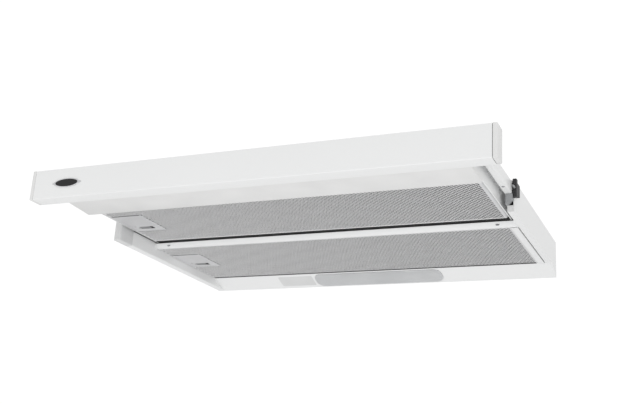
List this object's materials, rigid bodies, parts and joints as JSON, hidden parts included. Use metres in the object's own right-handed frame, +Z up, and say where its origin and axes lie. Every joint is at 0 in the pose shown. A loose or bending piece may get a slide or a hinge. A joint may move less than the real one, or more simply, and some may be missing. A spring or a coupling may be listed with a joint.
{
  "type": "under cabinet range hood",
  "caption": "Telescopic under-cabinet range hood with a pull-out filter tray, white fascia, sloping motor housing and round duct outlet on top",
  "frame": {"origin": "centre of the four cabinet screw holes, on the top face of the top plate, midway across the hood", "axes": "+Z up, +Y towards the wall behind the hood, +X to the right for someone facing the hood"},
  "size_m": [0.598, 0.4572, 0.1751],
  "materials": {
    "white_enamel": "smooth baked white enamel on sheet steel",
    "white_plastic": "smooth white plastic",
    "zinc_steel": "plain zinc-coated sheet steel",
    "filter_aluminium": "bare layered aluminium mesh and rolled aluminium edge",
    "black_plastic": "matt black plastic",
    "grey_plastic": "matt grey plastic",
    "black_seal": "black foam seal",
    "rubber_mount": "black rubber",
    "lens_plastic": "frosted translucent plastic lens",
    "bulb_glass": "clear bulb glass",
    "bright_steel": "bright plated steel",
    "motor_steel": "motor shell and shaft steel"
  },
  "bodies": {
    "case": {"top_plate": "white_enamel", "side_panel_left": "white_enamel", "side_panel_right": "white_enamel", "rear_panel": "white_enamel", "guide_cap_left": "white_plastic", "guide_cap_right": "white_plastic", "glide_left": "black_plastic", "glide_right": "black_plastic", "crossbar": "white_enamel", "crossbar_screws": "bright_steel", "lamp_panel": "white_enamel", "lamp_lens": "lens_plastic", "lamp_reflector": "zinc_steel", "lamp_holders": "white_plastic", "lamp_bulbs": "bulb_glass", "motor_housing": "zinc_steel", "outlet_collar": "grey_plastic", "flap_pin": "bright_steel", "blower_scroll": "grey_plastic", "scroll_cover": "grey_plastic", "outlet_duct": "grey_plastic", "motor_body": "motor_steel", "motor_grommets": "rubber_mount", "capacitor": "white_plastic", "terminal_box": "black_plastic", "cable_gland": "black_plastic", "slide_switch": "black_plastic"},
    "slider": {"fascia_panel": "white_enamel", "fascia_end_left": "white_plastic", "fascia_end_right": "white_plastic", "badge_plate": "black_plastic", "badge_rim": "bright_steel", "front_bar": "white_plastic", "bar_end_left": "white_plastic", "bar_end_right": "white_plastic", "tray_side_left": "white_enamel", "tray_side_right": "white_enamel", "tray_cover": "white_enamel", "tray_rear_bar": "zinc_steel", "tray_seal": "black_seal", "side_arm_left": "white_enamel", "side_arm_right": "white_enamel", "arm_screws": "bright_steel", "control_box": "white_plastic", "striker": "white_plastic"},
    "front_filter": {"front_filter_frame": "filter_aluminium", "front_filter_mesh": "filter_aluminium", "front_filter_latch_plate": "filter_aluminium"},
    "front_latch": {"front_filter_latch": "black_plastic"},
    "rear_filter": {"rear_filter_frame": "filter_aluminium", "rear_filter_mesh": "filter_aluminium", "rear_filter_latch_plate": "filter_aluminium"},
    "rear_latch": {"rear_filter_latch": "black_plastic"},
    "fan": {"fan_wheel": "grey_plastic", "motor_shaft": "motor_steel"},
    "flap_l": {"flap_left": "grey_plastic"},
    "flap_r": {"flap_right": "grey_plastic"},
    "speed_knob_body": {"speed_knob": "black_plastic"},
    "lamp_knob_body": {"lamp_knob": "black_plastic"},
    "plunger": {"switch_plunger": "grey_plastic"}
  },
  "joints": [
    {"name": "slider_pull", "type": "slide", "parent": "case", "child": "slider", "axis": [0, -1, 0], "range_m": [-0.13, 0]},
    {"name": "front_filter_drop", "type": "hinge", "parent": "slider", "child": "front_filter", "pos_m": [0.2542, -0.1697, -0.0281], "axis": [0, -1, 0], "range_deg": [0, 60]},
    {"name": "front_latch_pull", "type": "slide", "parent": "front_filter", "child": "front_latch", "axis": [1, 0, 0], "range_m": [0, 0.005], "stiffness_N_per_m": 350, "springref_m": -0.001},
    {"name": "rear_filter_drop", "type": "hinge", "parent": "case", "child": "rear_filter", "pos_m": [0.2554, 0.017, -0.0363], "axis": [0, -1, 0], "range_deg": [0, 60]},
    {"name": "rear_latch_pull", "type": "slide", "parent": "rear_filter", "child": "rear_latch", "axis": [1, 0, 0], "range_m": [0, 0.005], "stiffness_N_per_m": 350, "springref_m": -0.001},
    {"name": "fan_spin", "type": "hinge", "parent": "case", "child": "fan", "pos_m": [-0.08, 0.02, 0.0278], "axis": [0, 0, 1], "continuous": true},
    {"name": "flap_left_lift", "type": "hinge", "parent": "case", "child": "flap_l", "pos_m": [0.095, 0.045, 0.1053], "axis": [0, 1, 0], "range_deg": [0, 80]},
    {"name": "flap_right_lift", "type": "hinge", "parent": "case", "child": "flap_r", "pos_m": [0.095, 0.045, 0.1053], "axis": [0, -1, 0], "range_deg": [0, 80]},
    {"name": "speed_slide", "type": "slide", "parent": "slider", "child": "speed_knob_body", "axis": [1, 0, 0], "range_m": [0, 0.024]},
    {"name": "lamp_slide", "type": "slide", "parent": "slider", "child": "lamp_knob_body", "axis": [1, 0, 0], "range_m": [0, 0.008]},
    {"name": "switch_press", "type": "slide", "parent": "case", "child": "plunger", "axis": [0, 1, 0], "range_m": [0, 0.0013]}
  ],
  "couplings": [
    {"joint": "switch_press", "follows": "slider_pull", "ratio": -0.01}
  ]
}
